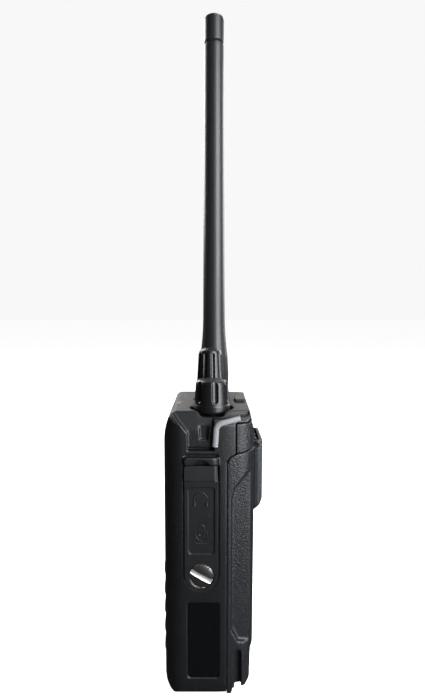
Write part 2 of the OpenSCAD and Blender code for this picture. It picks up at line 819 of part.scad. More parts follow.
// Side outline of the pack: sloping top, stepped foot at the back, thin toe at the front
module battery_outline() {
    polygon([[batt_y, 0], [batt_y + 2.2, 0], [batt_y + 2.7, batt_foot], [back_y - 3.9, batt_foot],
             [back_y - 3, 3.6], [back_y - 1.9, 5.2], [back_y - 1.5, 18.4], [back_y - 0.4, 20.4], [back_y, 78],
             [back_y, batt_top_back], [cap_y, batt_top + 0.5], [batt_y + 1.6, batt_top - 0.7],
             [batt_y + 0.45, batt_top - 2.2], [batt_y, batt_top - 3.7]]);
}

// Grip hollow in the pack's side, with its leaning upper end
module side_scoop() {
    depth = 2.2;
    along_x(batt_side_x - depth, batt_side_x + 4)
        polygon([[batt_y + 2, 30], [batt_y + 5, 24], [back_y + 2, 22], [back_y + 2, 102], [back_y - 1.5, 102],
                 [back_y - 6, 97.5], [batt_y + 3, 93.5], [batt_y + 2, 89]]);
}

module battery_shell() {
    color(SHELL_BLACK) difference() {
        intersection() {
            along_z(-1, body_h) round_rect([-batt_side_x, front_y], [batt_side_x, back_y], [0, 0, 7, 7]);
            along_x(-side_x, side_x) battery_outline();
        }
        for (side = [0, 1])
            mirror([side, 0, 0]) {
                side_scoop();
                block([batt_side_x - 2.8, batt_y + 3.5, -1], [batt_side_x + 1, batt_y + 6.4, 19.8]);
            }
        // Cell space and the seat for the inner cover
        block([-25.2, batt_y + 2.7, 22.5], [25.2, back_y - 1.8, 103.6]);
        block([-26.6, batt_y - 1, 4.6], [26.6, batt_y + 2.75, 104.2]);
        // Ways for the rails through the top wall
        for (x = [-rail_x, rail_x])
            block([x - 2.4, batt_y - 1, 100], [x + 2.4, batt_y + 2, body_h]);
        // Seat of the latch and its way through
        block([-11.3, back_y - 3.6, 5.6], [11.3, back_y + 1, 17.6]);
        block([-7.3, batt_y, 6.2], [7.3, back_y - 3, 12.6]);
        for (x = [-17, 17])
            rod_y(x, back_y - 2.6, back_y, 11, 2);
        // Seat of the clip bracket and its screws
        block([-bracket_x - 0.05, back_y - 1, bracket_z[0] - 0.05], [bracket_x + 0.05, back_y + 1, body_h]);
        for (x = [-clip_screw_x, clip_screw_x])
            rod_y(x, back_y - 7.6, back_y, clip_screw_z, 1.25);
    }
}

module battery_inner_cover() {
    color("dimgray") difference() {
        block([-26.5, batt_y, 4.7], [26.5, batt_y + 2.7, 104.1]);
        for (x = [-rail_x, rail_x]) {
            block([x - 1.4, batt_y - 1, 13.7], [x + 1.4, batt_y + 0.7, 110]);
            block([x - 2.4, batt_y + 0.6, 13.7], [x + 2.4, batt_y + 2, 110]);
        }
        block([-7.5, batt_y - 1, 6], [7.5, batt_y + 3, 12.8]);
        for (x = [-6, 0, 6])
            block([x - 1.6, batt_y - 0.1, 23], [x + 1.6, batt_y + 0.4, 29]);
    }
}

module battery_cells() {
    color("lightsteelblue") for (z = [23, 63.4])
        along_y(batt_y + 2.9, back_y - 2) round_rect([-25, z], [25, z + 39.8], [2, 2, 2, 2]);
}

// Gold pads: three that meet the radio, and two round ones for the charger
module battery_contacts() {
    color("gold") {
        for (x = [-6, 0, 6])
            block([x - 1.5, batt_y, 23.1], [x + 1.5, batt_y + 0.4, 28.9]);
        for (x = [-17, 17])
            rod_y(x, back_y - 2.6, back_y - 2.1, 11, 1.95);
    }
}

module radio_contacts() {
    color("gold") {
        block([-8.4, seam_y - 2.2, 22.6], [8.4, seam_y - 0.2, 29.4]);
        for (x = [-6, 0, 6])
            translate([x, seam_y - 0.3, 26]) rotate([-90, 0, 0]) cylinder(r1 = 1.3, r2 = 0.8, h = 0.5);
    }
}

// Sliding latch: a ribbed thumb plate with a tongue that reaches the body
module battery_latch() {
    color(RUBBER_BLACK) {
        block([-11, back_y - 3.4, 5.8], [11, back_y - 1.9, 14.8]);
        block([-7, batt_y + 0.3, 6.6], [7, back_y - 3.3, 9.6]);
        for (z = [7.2, 9.4, 11.6])
            block([-8, back_y - 2, z], [8, back_y - 1.4, z + 0.9]);
    }
}

front_housing();
chassis_frame();
rear_top_cover();
main_seal();
side_label_plate();
display_window();
display_module();
speaker_driver();
speaker_mesh();
keypad_membrane();
main_board();
shield_cans();
microphone();
volume_control();
channel_encoder();
antenna_socket();
accessory_jacks();
jack_cover_tab();
radio_contacts();
chassis_screws();
clip_bracket();
clip_pin();
clip_spring();
clip_screws();
status_light_pipe();
volume_knob();
volume_shaft();
channel_knob();
channel_shaft();
antenna_sleeve();
antenna_cap();
antenna_radiator();
antenna_plug();
top_button();
ptt_button();
side_key(side_keys_z[1]);  // side_key_upper
side_key(side_keys_z[0]);  // side_key_lower
jack_cover_flap();
cover_screw();
belt_clip();
battery_shell();
battery_inner_cover();
battery_cells();
battery_contacts();
battery_latch();
key(0);  // key_1
key(1);  // key_2
key(2);  // key_3
key(3);  // key_4
key(4);  // key_5
key(5);  // key_6
key(6);  // key_7
key(7);  // key_8
key(8);  // key_9
key(9);  // key_star
key(10);  // key_0
key(11);  // key_hash
key(12);  // key_menu
key(13);  // key_up_down
key(14);  // key_back
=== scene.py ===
"""Looks of the handheld two way radio: softened shells, small details, materials, camera and light."""
import json
import math

import bpy
import numpy as np
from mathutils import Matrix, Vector


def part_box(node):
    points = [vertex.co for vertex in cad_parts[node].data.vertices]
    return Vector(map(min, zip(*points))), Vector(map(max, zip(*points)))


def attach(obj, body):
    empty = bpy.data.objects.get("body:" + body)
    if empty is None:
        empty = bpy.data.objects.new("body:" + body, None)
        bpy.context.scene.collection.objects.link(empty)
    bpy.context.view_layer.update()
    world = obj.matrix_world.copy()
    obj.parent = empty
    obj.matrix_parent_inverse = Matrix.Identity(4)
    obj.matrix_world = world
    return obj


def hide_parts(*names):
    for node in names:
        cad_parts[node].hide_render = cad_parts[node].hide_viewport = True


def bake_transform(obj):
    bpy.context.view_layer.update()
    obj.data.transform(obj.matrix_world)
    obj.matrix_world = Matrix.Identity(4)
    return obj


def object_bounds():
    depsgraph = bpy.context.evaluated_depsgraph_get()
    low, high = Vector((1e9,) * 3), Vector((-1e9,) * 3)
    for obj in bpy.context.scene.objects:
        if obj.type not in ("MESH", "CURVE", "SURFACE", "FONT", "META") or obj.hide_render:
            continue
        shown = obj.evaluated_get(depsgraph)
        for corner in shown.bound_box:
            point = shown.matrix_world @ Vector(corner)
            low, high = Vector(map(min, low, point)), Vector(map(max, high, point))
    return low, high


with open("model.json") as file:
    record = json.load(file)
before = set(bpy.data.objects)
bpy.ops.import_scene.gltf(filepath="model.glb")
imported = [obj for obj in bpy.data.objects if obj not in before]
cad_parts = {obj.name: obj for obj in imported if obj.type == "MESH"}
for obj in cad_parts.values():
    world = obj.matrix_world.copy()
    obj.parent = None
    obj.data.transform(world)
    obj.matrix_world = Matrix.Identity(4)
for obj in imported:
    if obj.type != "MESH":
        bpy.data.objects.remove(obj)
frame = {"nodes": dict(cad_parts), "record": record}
cad_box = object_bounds()
MM = 0.001
BODY_OF = {node: body for body, nodes in frame["record"]["behaviour"]["bodies"].items() for node in nodes}
SLOT_OF = {part["node"]: part["material_slot"] for part in frame["record"]["subparts"]}


def box_mm(node):
    """Lowest and highest corners of a CAD node at rest, in millimetres."""
    low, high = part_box(node)
    return np.array(low) / MM, np.array(high) / MM


# ---- camera ----

def add_camera():
    """A close view of the accessory side from a little above, as a person holds a camera to it."""
    data = bpy.data.cameras.new("camera")
    data.lens = 25
    data.sensor_width = 36
    data.sensor_fit = "AUTO"
    data.clip_start = 0.01
    camera = bpy.data.objects.new("camera", data)
    camera.location = (0.23185, 0.00145, 0.17196)
    camera.rotation_euler = (math.radians(90 - 5.04), 0, math.radians(90))
    bpy.context.scene.collection.objects.link(camera)
    bpy.context.scene.camera = camera


# ---- lights and floor ----

def add_light(name, azimuth, elevation, distance, size, power, colour=(1, 1, 1)):
    """A soft box; azimuth 0 is on the accessory side (+X), 90 behind the radio (+Y)."""
    aim = Vector((0, 0, 0.1))
    turn = math.radians(azimuth)
    lift = math.radians(elevation)
    way = Vector((math.cos(turn) * math.cos(lift), math.sin(turn) * math.cos(lift), math.sin(lift)))
    data = bpy.data.lights.new(name, "AREA")
    data.shape = "RECTANGLE"
    data.size = size[0]
    data.size_y = size[1]
    data.energy = power
    data.color = colour
    light = bpy.data.objects.new(name, data)
    light.location = aim + way * distance
    light.rotation_euler = (-way).to_track_quat("-Z", "Y").to_euler()
    bpy.context.scene.collection.objects.link(light)


def mix_by_camera_ray(tree, socket, seen, unseen):
    """Gives a socket one value for what the camera sees and another for light that falls on things."""
    path = tree.nodes.new("ShaderNodeLightPath")
    mix = tree.nodes.new("ShaderNodeMix")
    mix.data_type = "RGBA"
    mix.inputs["A"].default_value = (*unseen, 1)
    mix.inputs["B"].default_value = (*seen, 1)
    tree.links.new(path.outputs["Is Camera Ray"], mix.inputs["Factor"])
    tree.links.new(mix.outputs["Result"], socket)


def add_studio():
    """A white room for the eye that stays dark in reflections, so that black plastic reads as black."""
    world = bpy.data.worlds.new("studio")
    bpy.context.scene.world = world
    world.use_nodes = True
    background = world.node_tree.nodes["Background"]
    pale = (0.94, 0.94, 0.94)
    mix_by_camera_ray(world.node_tree, background.inputs["Color"], pale, (0.03, 0.03, 0.032))
    add_light("window", 45, 17, 0.62, (0.42, 0.62), 11, (0.92, 0.96, 1.0))
    add_light("overhead", 100, 75, 0.9, (0.4, 0.4), 3.0, (1.0, 0.97, 0.93))
    add_light("far_side", 180, 30, 0.9, (0.8, 0.3), 2.2, (1.0, 0.96, 0.92))
    add_light("front_fill", -138, 32, 0.9, (0.5, 0.5), 7)
    add_light("back_fill", 135, 20, 0.9, (0.5, 0.5), 5)
    half = 6
    mesh = bpy.data.meshes.new("floor")
    corners = [(-half, -half, 0), (half, -half, 0), (half, half, 0), (-half, half, 0)]
    mesh.from_pydata(corners, [], [(0, 1, 2, 3)])
    floor = bpy.data.objects.new("floor", mesh)
    bpy.context.scene.collection.objects.link(floor)
    floor.location.z = -0.0002
    floor.visible_glossy = False
    material = bpy.data.materials.new("pale_floor")
    material.use_nodes = True
    shader = material.node_tree.nodes["Principled BSDF"]
    shader.inputs["Base Color"].default_value = (0.85, 0.85, 0.85, 1)
    shader.inputs["Roughness"].default_value = 0.9
    shader.inputs["Emission Strength"].default_value = 1
    mix_by_camera_ray(material.node_tree, shader.inputs["Emission Color"], pale, (0, 0, 0))
    mesh.materials.append(material)
    bpy.context.scene.view_settings.view_transform = "Standard"


# ---- materials ----

class Recipe:
    """A small helper that adds nodes to one material and joins them up. Its lengths are in millimetres."""

    def __init__(self, name):
        self.material = bpy.data.materials.new(name)
        self.material.use_nodes = True
        self.tree = self.material.node_tree
        self.shader = self.tree.nodes["Principled BSDF"]
        place = self.add("ShaderNodeTexCoord").outputs["Object"]
        self.place = self.stretched(place, (1000, 1000, 1000))

    def add(self, kind):
        return self.tree.nodes.new(kind)

    def join(self, source, target):
        self.tree.links.new(source, target)

    def stretched(self, source, scale):
        mapping = self.add("ShaderNodeMapping")
        mapping.inputs["Scale"].default_value = scale
        self.join(source, mapping.inputs["Vector"])
        return mapping.outputs["Vector"]

    def noise(self, scale, detail=2.0, stretch=None):
        node = self.add("ShaderNodeTexNoise")
        node.inputs["Scale"].default_value = scale
        node.inputs["Detail"].default_value = detail
        source = self.stretched(self.place, stretch) if stretch else self.place
        self.join(source, node.inputs["Vector"])
        return node.outputs["Fac"]

    def cells(self, scale):
        node = self.add("ShaderNodeTexVoronoi")
        node.inputs["Scale"].default_value = scale
        self.join(self.place, node.inputs["Vector"])
        return node.outputs["Distance"]

    def axis(self, letter):
        """How far along X, Y or Z a point is, in millimetres."""
        node = self.add("ShaderNodeSeparateXYZ")
        self.join(self.place, node.inputs["Vector"])
        return node.outputs[letter]

    def span(self, value, low, high, start=0.0, end=1.0):
        """Maps value from start..end to low..high."""
        node = self.add("ShaderNodeMapRange")
        node.inputs["From Min"].default_value = start
        node.inputs["From Max"].default_value = end
        node.inputs["To Min"].default_value = low
        node.inputs["To Max"].default_value = high
        self.join(value, node.inputs["Value"])
        return node.outputs["Result"]

    def blend(self, factor, first, second):
        """A colour between two colours, each a tuple or another node's output."""
        node = self.add("ShaderNodeMix")
        node.data_type = "RGBA"
        self.join(factor, node.inputs["Factor"])
        for key, colour in (("A", first), ("B", second)):
            if isinstance(colour, tuple):
                node.inputs[key].default_value = (*colour, 1)
            else:
                self.join(colour, node.inputs[key])
        return node.outputs["Result"]

    def maths(self, how, first, second):
        node = self.add("ShaderNodeMath")
        node.operation = how
        for key, value in ((0, first), (1, second)):
            if isinstance(value, (int, float)):
                node.inputs[key].default_value = value
            else:
                self.join(value, node.inputs[key])
        return node.outputs["Value"]

    def worn_and_highlit_edges(self):
        """0 on flats and hollows, up to 1 on outward edges, in patches: where edges are lightened for rubbed
        wear and for a painted highlight.
        """
        pointed = self.span(self.add("ShaderNodeNewGeometry").outputs["Pointiness"], 0.0, 1.0, 0.54, 0.66)
        return self.maths("MULTIPLY", pointed, self.span(self.noise(0.5, 3), 0.2, 1.0, 0.35, 0.65))

    def bump(self, height, depth):
        node = self.add("ShaderNodeBump")
        node.inputs["Strength"].default_value = 1.0
        node.inputs["Distance"].default_value = depth * MM
        self.join(height, node.inputs["Height"])
        self.join(node.outputs["Normal"], self.shader.inputs["Normal"])

    def set(self, **values):
        for key, value in values.items():
            self.shader.inputs[key.replace("_", " ")].default_value = value


def moulded(name, colour, rough, grain, depth, wear_and_highlight=(0.022, 0.022, 0.024)):
    """Moulded plastic or rubber: a fine eroded grain, slow changes of tone, edges a little lighter, part
    rubbed wear and part painted highlight.
    """
    r = Recipe(name)
    lighter = tuple(1.25 * c for c in colour)
    tone = r.blend(r.noise(0.06, 3), colour, lighter)
    worn = r.worn_and_highlit_edges()
    # Outward edges are mixed towards the lighter colour: part rubbed wear, part a painted highlight along the
    # edges.
    r.join(r.blend(worn, tone, wear_and_highlight), r.shader.inputs["Base Color"])
    speck = r.noise(grain, 3)
    base = r.span(r.noise(0.12, 3), rough - 0.03, rough + 0.04)
    r.join(r.maths("ADD", base, r.span(speck, -0.05, 0.05)), r.shader.inputs["Roughness"])
    r.bump(speck, depth)
    return r.material


def metal(name, colour, rough, stretch=(1, 1, 1), depth=0.006):
    """Bare or plated metal with faint scratches and uneven dullness."""
    r = Recipe(name)
    r.set(Metallic=1.0)
    fine = r.noise(4, 4, stretch)
    dull = tuple(0.75 * c for c in colour)
    r.join(r.blend(r.noise(0.5, 5), dull, colour), r.shader.inputs["Base Color"])
    r.join(r.span(fine, rough - 0.06, rough + 0.1), r.shader.inputs["Roughness"])
    r.bump(fine, depth)
    return r.material


def screw_nickel():
    """Bright plating on the domed head, with a duller milled slot; the slot floor's paler grey is a painted
    highlight.
    """
    r = Recipe("screw_nickel")
    r.set(Metallic=1.0)
    slot_floor_x, head_face_x = 31.02, 31.1
    slot = r.span(r.axis("X"), 1.0, 0.0, slot_floor_x, head_face_x)
    scratch = r.noise(3, 4, (1, 0.25, 4))
    head = r.blend(r.noise(0.6, 4), (0.5, 0.47, 0.43), (0.62, 0.6, 0.57))
    # The slot floor's paler grey is a painted highlight; its extra roughness is set below.
    r.join(r.blend(slot, head, (0.85, 0.84, 0.82)), r.shader.inputs["Base Color"])
    rough = r.maths("ADD", r.span(scratch, 0.16, 0.3), r.span(slot, 0.0, 0.3))
    r.join(rough, r.shader.inputs["Roughness"])
    r.bump(scratch, 0.012)
    return r.material


def speaker_cloth():
    """Woven steel behind the speaker slots: rows of round holes, their near-black a painted shade."""
    r = Recipe("speaker_weave")
    hole = r.span(r.cells(1.6), 1.0, 0.0, 0.22, 0.34)
    # The holes are painted near-black: painted shade where the perforations would look dark.
    r.join(r.blend(hole, (0.06, 0.06, 0.06), (0.002, 0.002, 0.002)), r.shader.inputs["Base Color"])
    r.set(Metallic=0.8)
    r.join(r.span(hole, 0.35, 0.9), r.shader.inputs["Roughness"])
    r.bump(r.maths("MULTIPLY", hole, -1.0), 0.1)
    return r.material


def tinted_glass():
    """The smeared dark window over the display."""
    r = Recipe("window_tint")
    smear = r.noise(0.15, 4)
    r.join(r.blend(smear, (0.30, 0.32, 0.33), (0.36, 0.38, 0.39)), r.shader.inputs["Base Color"])
    r.join(r.span(smear, 0.03, 0.09), r.shader.inputs["Roughness"])
    r.set(Transmission_Weight=0.9, IOR=1.49)
    r.bump(smear, 0.002)
    return r.material


def display_glass():
    """A switched-off liquid crystal panel with its faint pixel grid."""
    r = Recipe("display_panel")
    dots = r.cells(3.0)
    green = r.blend(r.span(dots, 0, 1, 0.2, 0.6), (0.20, 0.24, 0.19), (0.27, 0.31, 0.25))
    r.join(green, r.shader.inputs["Base Color"])
    r.join(r.span(r.noise(0.3), 0.2, 0.3), r.shader.inputs["Roughness"])
    r.bump(dots, 0.01)
    return r.material


def printed_white():
    """Slightly worn white print on the keys."""
    r = Recipe("key_print")
    ink = r.noise(3, 4)
    r.join(r.blend(ink, (0.42, 0.43, 0.43), (0.58, 0.58, 0.57)), r.shader.inputs["Base Color"])
    r.join(r.span(ink, 0.4, 0.6), r.shader.inputs["Roughness"])
    r.bump(ink, 0.01)
    return r.material


def painted_lip_highlight():
    """The lip beside the knob hollow, coloured pale grey as a painted highlight, with fine slanting tool
    lines.
    """
    r = Recipe("painted_highlight_lip_grey")
    lines = r.noise(2.2, 3, (1, 0.4, 2.6))
    # Painted highlight: pale greys, far lighter than the black plastic around the lip.
    r.join(r.blend(lines, (0.12, 0.125, 0.13), (0.21, 0.215, 0.22)), r.shader.inputs["Base Color"])
    r.join(r.span(lines, 0.3, 0.5), r.shader.inputs["Roughness"])
    r.bump(lines, 0.06)
    return r.material


MATERIALS = {
    "shell": moulded("shell_black", (0.0034, 0.0037, 0.0042), 0.4, 1.8, 0.16),
    "pack": moulded("pack_black", (0.0055, 0.006, 0.0072), 0.38, 1.4, 0.28),
    "rubber": moulded("soft_black", (0.0045, 0.0049, 0.0053), 0.43, 3.2, 0.045),
    # The jack cover's block: a speckled grain, and a lighter black that is a painted highlight.
    "speckled": moulded("speckled_highlit_black", (0.012, 0.0122, 0.0126), 0.38, 1.5, 0.32),
    "gloss": moulded("gloss_black", (0.0032, 0.0033, 0.0038), 0.34, 2.5, 0.006),
    "plate": moulded("plate_black", (0.0016, 0.0018, 0.0022), 0.16, 0.8, 0.002, (0.0018, 0.002, 0.0024)),
    "whip": moulded("whip_black", (0.0085, 0.0092, 0.0098), 0.4, 3.0, 0.015),
    "button": moulded("button_grey", (0.016, 0.019, 0.0175), 0.36, 3.0, 0.02),
    "steel": metal("nickel_steel", (0.72, 0.70, 0.67), 0.22),
    "dark_steel": metal("black_oxide_steel", (0.07, 0.07, 0.075), 0.35),
    "screw": screw_nickel(),
    "cast": metal("cast_alloy", (0.42, 0.43, 0.44), 0.42, depth=0.03),
    "gold": metal("gold_plate", (0.83, 0.62, 0.28), 0.25),
    "board": moulded("board_green", (0.012, 0.07, 0.03), 0.35, 2.0, 0.01, (0.10, 0.2, 0.12)),
    "cells": moulded("cell_wrap", (0.16, 0.21, 0.27), 0.35, 1.5, 0.01, (0.3, 0.35, 0.4)),
    "light": moulded("light_guide", (0.2, 0.205, 0.2), 0.3, 2.0, 0.01, (0.3, 0.3, 0.29)),
    "mesh": speaker_cloth(),
    "window": tinted_glass(),
    "display": display_glass(),
    "print": printed_white(),
    "lip": painted_lip_highlight(),
}
SLOT_MATERIAL = {
    "moulded_shell": "shell", "gloss_trim": "gloss", "window": "window", "display": "display",
    "black_rubber": "rubber", "die_cast": "cast", "steel": "steel", "board": "board",
    "inner_plastic": "pack", "cell_pack": "cells", "contact_gold": "gold", "light_guide": "light",
}


# ---- mesh helpers ----

def new_object(name, mesh):
    """Puts a mesh or curve into the scene as an object."""
    piece = bpy.data.objects.new(name, mesh)
    bpy.context.scene.collection.objects.link(piece)
    return piece


def evaluated(obj):
    """The mesh that an object gives with its modifiers applied."""
    graph = bpy.context.evaluated_depsgraph_get()
    return bpy.data.meshes.new_from_object(obj.evaluated_get(graph))


def joined(name, meshes):
    """One mesh from several, which keeps each face's material number."""
    corners = []
    faces = []
    slots = []
    for mesh in meshes:
        start = len(corners)
        corners += [tuple(v.co) for v in mesh.vertices]
        faces += [[start + k for k in face.vertices] for face in mesh.polygons]
        slots += [face.material_index for face in mesh.polygons]
    result = bpy.data.meshes.new(name)
    result.from_pydata(corners, [], faces)
    result.polygons.foreach_set("material_index", slots)
    result.shade_smooth()
    return result


def points_mm(mesh):
    """A mesh's points as an array, in millimetres."""
    co = np.empty(len(mesh.vertices) * 3, np.float32)
    mesh.vertices.foreach_get("co", co)
    return co.reshape(-1, 3).astype(np.float64) / MM


def set_points_mm(mesh, co):
    """Writes points in millimetres back to a mesh."""
    mesh.vertices.foreach_set("co", (co * MM).astype(np.float32).ravel())
    mesh.update()


def ease(value, start, end):
    """0 before start, 1 after end, and a soft step between."""
    t = np.clip((value - start) / (end - start), 0, 1)
    return t * t * (3 - 2 * t)


def soft_mesh(name, sources, voxel, passes, faces, shape=None, melt=None):
    """Rounds the edges of closed meshes: voxels, smoothing, a reshaping function, then fewer faces.

    melt gives each point a weight from 0 to 1 for a second, much wider smoothing.
    """
    work = new_object(name, joined(name, sources))
    remesh = work.modifiers.new("voxels", "REMESH")
    remesh.mode = "VOXEL"
    remesh.voxel_size = voxel * MM
    smooth = work.modifiers.new("smooth", "SMOOTH")
    smooth.factor = 0.5
    smooth.iterations = passes
    work.data = evaluated(work)
    work.modifiers.clear()
    if melt:
        group = work.vertex_groups.new(name="melt")
        weights = melt(points_mm(work.data))
        for level in range(1, 11):
            chosen = np.nonzero(np.round(weights * 10) == level)[0]
            group.add(chosen.tolist(), level / 10, "REPLACE")
        wide = work.modifiers.new("melt", "SMOOTH")
        wide.vertex_group = "melt"
        wide.factor = 0.5
        wide.iterations = 12
        work.data = evaluated(work)
        work.modifiers.clear()
        work.vertex_groups.clear()
    if shape:
        set_points_mm(work.data, shape(points_mm(work.data)))
    triangles = 2 * len(work.data.polygons)
    if triangles > faces:
        fewer = work.modifiers.new("fewer", "DECIMATE")
        fewer.ratio = faces / triangles
    mesh = evaluated(work)
    bpy.data.objects.remove(work)
    mesh.shade_smooth()
    return mesh


def place_piece(name, mesh, nodes, materials):
    """Makes the piece that stands for the given CAD nodes, with its materials, and hides those nodes."""
    piece = new_object(name, mesh)
    mesh.materials.clear()
    for material in materials:
        mesh.materials.append(MATERIALS[material])
    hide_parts(*nodes)
    return piece


def soften(node, voxel, passes, faces, material, shape=None, melt=None):
    """Replaces one CAD node with its softened form."""
    mesh = soft_mesh(node + "_soft", [frame["nodes"][node].data], voxel, passes, faces, shape, melt)
    piece = place_piece(node + "_soft", mesh, [node], [material])
    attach(piece, BODY_OF[node])


def stroke(name, lines, radius):
    """A mesh of round strokes; each line is a list of points in millimetres."""
    curve = bpy.data.curves.new(name, "CURVE")
    curve.dimensions = "3D"
    curve.bevel_depth = radius * MM
    curve.bevel_resolution = 3
    curve.use_fill_caps = True
    for line in lines:
        spline = curve.splines.new("POLY")
        spline.points.add(len(line) - 1)
        for point, place in zip(spline.points, line):
            point.co = (*(MM * c for c in place), 1)
    work = new_object(name, curve)
    mesh = evaluated(work)
    bpy.data.objects.remove(work)
    return mesh


def arc(middle, radius, start, end, steps=24):
    """Points of an arc in the YZ plane, with its angles in degrees from +Y towards +Z."""
    x, y, z = middle
    angles = [math.radians(start + (end - start) * k / steps) for k in range(steps + 1)]
    return [(x, y + radius * math.cos(a), z + radius * math.sin(a)) for a in angles]


# ---- shapes of the shells ----

HIGH_X = cad_box[1][0] / MM
COVER_LOW, COVER_HIGH = box_mm("jack_cover_flap")
TAB_LOW, TAB_HIGH = box_mm("jack_cover_tab")
BATTERY_LOW, BATTERY_HIGH = box_mm("battery_shell")
CLIP_HIGH = box_mm("belt_clip")[1]
COVER_MIDDLE = (COVER_LOW[1] + COVER_HIGH[1]) / 2
SEAM_GAP = 0.26
# The accessory side: where raised edges are bevelled, the bar above the jack cover, the cover's thick
# block and its living hinge
BEVEL_FACE_X = 30.9
BEVEL_WIDTH = 1.5
BAR_TOP_Z = 108.4
BLOCK_HEIGHT = 6.4
JOINTS = {joint["name"]: joint for joint in frame["record"]["behaviour"]["joints"]}
HINGE_X = JOINTS["jack_cover_open"]["pos_m"][0] / MM


def rounded_sides(co):
    """Bends both sides gently inwards towards the back, as the moulded sides of the body do."""
    y = co[:, 1]
    bend_from = 4.0
    bend_to = 11.0
    slope = 0.2
    run = np.clip(y - bend_from, 0, bend_to - bend_from)
    inwards = slope * run * run / (2 * (bend_to - bend_from)) + slope * np.clip(y - bend_to, 0, None)
    weight = ease(np.abs(co[:, 0]), 14, 24)
    co[:, 0] -= np.sign(co[:, 0]) * inwards * weight
    return co


def bevel_right(co, low_z, high_z):
    """Slopes the right-hand edge of a raised block on the accessory side."""
    inside = (co[:, 0] > BEVEL_FACE_X) & (co[:, 2] > low_z) & (co[:, 2] < high_z)
    co[:, 0] -= np.where(inside, 0.8 * np.clip(co[:, 1] - (COVER_HIGH[1] - BEVEL_WIDTH), 0, None), 0)
    return co


def housing_shape(co):
    """Adds the bevel of the bar above the jack cover, and a back edge that nearly meets the battery."""
    co = bevel_right(co, COVER_HIGH[2] + 0.2, BAR_TOP_Z)
    behind = (co[:, 1] > BATTERY_LOW[1] - 0.5) & (co[:, 2] < BATTERY_HIGH[2] - 5)
    co[:, 1] += np.where(behind, SEAM_GAP * ease(co[:, 1], BATTERY_LOW[1] - 0.5, BATTERY_LOW[1] - 0.35), 0)
    return rounded_sides(co)


def clip_shape(co):
    """Bevels the two outer edges of the belt clip's plate."""
    x, y = co[:, 0], co[:, 1]
    edge = np.clip(y - (CLIP_HIGH[1] - 2.4), 0, None)
    co[:, 0] -= np.where(np.abs(x) > CLIP_HIGH[0] - 1.7, 0.45 * np.sign(x) * edge, 0)
    return co


def battery_shape(co):
    """The sides bend in, and the back has a shallow sunk panel."""
    x, y, z = co.T
    half_width, low, high, edge, depth = 20.0, 30, 70, 0.8, 0.35
    panel = ease(half_width - np.abs(x), 0, edge) * ease(z, low, low + edge) * ease(high - z, 0, edge)
    co[:, 1] -= depth * panel * (y > BATTERY_HIGH[1] - 1.2)
    return rounded_sides(co)


def battery_melt(co):
    """Where the grip hollow in the pack's side blends into it."""
    x, y, z = co.T
    hollow = (np.abs(x) > 26.5) & (y > BATTERY_LOW[1] + 1.2) & (z > 21)
    return hollow * ease(106 - z, 0, 2)


def crowned_keys(node):
    """A reshaping function that rounds one key's face."""
    low, high = box_mm(node)

    def shape(co):
        across = (co[:, 0] - (low[0] + high[0]) / 2) / (high[0] - low[0])
        up = (co[:, 2] - (low[2] + high[2]) / 2) / (high[2] - low[2])
        proud = ease(-co[:, 1], -(low[1] + 1.2), -(low[1] + 0.6))
        co[:, 1] += proud * 0.9 * (across ** 2 + up ** 2)
        return co
    return shape


def talk_grooves(co):
    """Grip grooves across the talk button."""
    low, high = box_mm("ptt_button")
    middle = (low[2] + high[2]) / 2
    outside = ease(-co[:, 0], -(low[0] + 1.0), -(low[0] + 0.3))
    rows = np.clip(np.cos((co[:, 2] - middle) * 2 * math.pi / 3.0), 0, 1) * (np.abs(co[:, 2] - middle) < 11.3)
    inner = ease(5.2 - np.abs(co[:, 1] - (low[1] + high[1]) / 2), 0, 0.8)
    co[:, 0] += outside * (0.35 * rows * inner + 0.5 * ((co[:, 2] - middle) / 18) ** 2)
    return co


def domed_screw(co):
    """Rounds the cover screw's face towards its rim."""
    low, high = box_mm("cover_screw")
    y = co[:, 1] - (low[1] + high[1]) / 2
    z = co[:, 2] - (low[2] + high[2]) / 2
    away = np.hypot(y, z) / ((high[1] - low[1]) / 2)
    face = co[:, 0] > high[0] - 0.35
    co[:, 0] -= np.where(face, 0.6 * away ** 3, 0)
    return co


def cover_shape(co):
    """Leans the thick block's face back towards its top and bevels its right edge."""
    block_low = COVER_HIGH[2] - BLOCK_HEIGHT
    raised = (co[:, 0] > HIGH_X - 0.5) & (co[:, 2] > block_low)
    co[:, 0] -= np.where(raised, 0.5 * (co[:, 2] - block_low) / BLOCK_HEIGHT, 0)
    return bevel_right(co, block_low - 0.2, COVER_HIGH[2] + 1)


# ---- pieces ----

def add_shells():
    """The large mouldings, the belt clip with its bracket, and the latch."""
    soften("front_housing", 0.32, 5, 190000, "shell", housing_shape)
    soften("rear_top_cover", 0.28, 5, 60000, "pack", rounded_sides)
    soften("battery_shell", 0.36, 5, 150000, "pack", battery_shape, battery_melt)
    soften("belt_clip", 0.24, 5, 60000, "pack", clip_shape)
    soften("clip_bracket", 0.18, 4, 40000, "shell")
    soften("battery_latch", 0.18, 4, 40000, "rubber")


def add_controls():
    """Knobs, antenna, buttons, cover screw and status light."""
    soften("volume_knob", 0.15, 9, 120000, "gloss")
    soften("channel_knob", 0.15, 5, 120000, "gloss")
    soften("antenna_sleeve", 0.25, 4, 90000, "whip")
    soften("antenna_cap", 0.16, 4, 30000, "whip")
    soften("top_button", 0.14, 5, 30000, "button")
    soften("ptt_button", 0.2, 5, 60000, "rubber", talk_grooves)
    soften("side_key_upper", 0.15, 5, 30000, "rubber")
    soften("side_key_lower", 0.15, 5, 30000, "rubber")
    soften("cover_screw", 0.1, 3, 90000, "screw", domed_screw)
    soften("status_light_pipe", 0.12, 4, 30000, "light")


